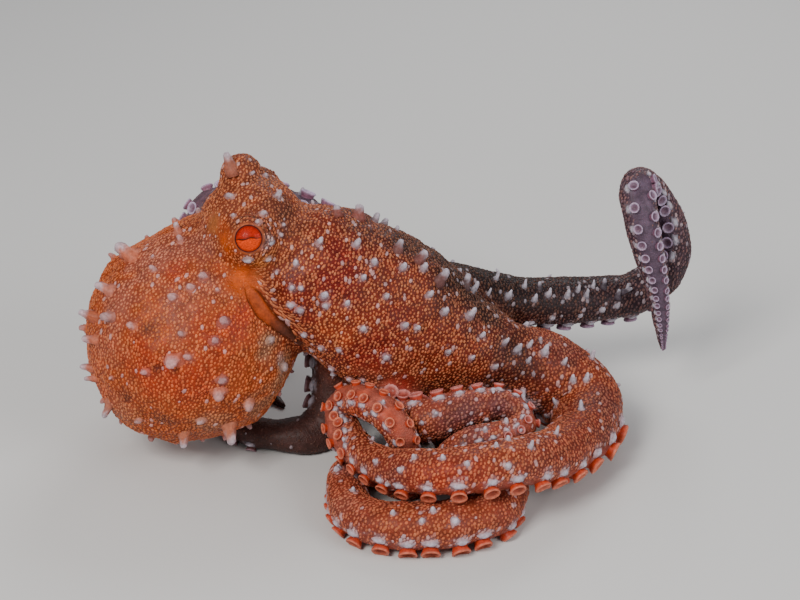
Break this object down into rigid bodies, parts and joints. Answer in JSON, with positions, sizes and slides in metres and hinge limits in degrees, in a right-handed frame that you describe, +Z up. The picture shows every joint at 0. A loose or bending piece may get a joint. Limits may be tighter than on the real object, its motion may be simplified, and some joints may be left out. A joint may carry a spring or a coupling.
{
  "type": "white-spotted octopus",
  "caption": "Life-size still model of a white-spotted octopus at rest, mantle bag hanging beside its head and long suckered arms curled in front, behind and upwards.",
  "frame": {"origin": "on the floor, at the middle of the model's footprint", "axes": "+Z up; +X the way the arm crown reaches, with the mantle bag at -X; -Y the animal's right side, which the picture shows"},
  "size_m": [0.3196, 0.205, 0.1522],
  "materials": {
    "skin": "wet, mottled orange, brick red and brown with white spots",
    "eye": "glossy orange red with a dark level slit"
  },
  "bodies": {
    "root": {"arm_l1_1": "skin", "arm_l1_2": "skin", "arm_l1_3": "skin", "arm_l1_4": "skin", "arm_l1_5": "skin", "arm_l2_1": "skin", "arm_l2_2": "skin", "arm_l2_3": "skin", "arm_l2_4": "skin", "arm_l2_5": "skin", "arm_l3_1": "skin", "arm_l3_2": "skin", "arm_l3_3": "skin", "arm_l3_4": "skin", "arm_l4_1": "skin", "arm_l4_2": "skin", "arm_l4_3": "skin", "arm_l4_4": "skin", "arm_r1_1": "skin", "arm_r1_2": "skin", "arm_r1_3": "skin", "arm_r1_4": "skin", "arm_r1_5": "skin", "arm_r2_1": "skin", "arm_r2_2": "skin", "arm_r2_3": "skin", "arm_r2_4": "skin", "arm_r2_5": "skin", "arm_r2_6": "skin", "arm_r2_7": "skin", "arm_r2_8": "skin", "arm_r3_1": "skin", "arm_r3_2": "skin", "arm_r3_3": "skin", "arm_r3_4": "skin", "arm_r3_5": "skin", "arm_r4_1": "skin", "arm_r4_2": "skin", "arm_r4_3": "skin", "arm_r4_4": "skin", "arm_r4_5": "skin", "arm_r4_6": "skin", "crown": "skin", "eye_left": "eye", "eye_right": "eye", "funnel": "skin", "head": "skin", "mantle": "skin"}
  },
  "joints": []
}
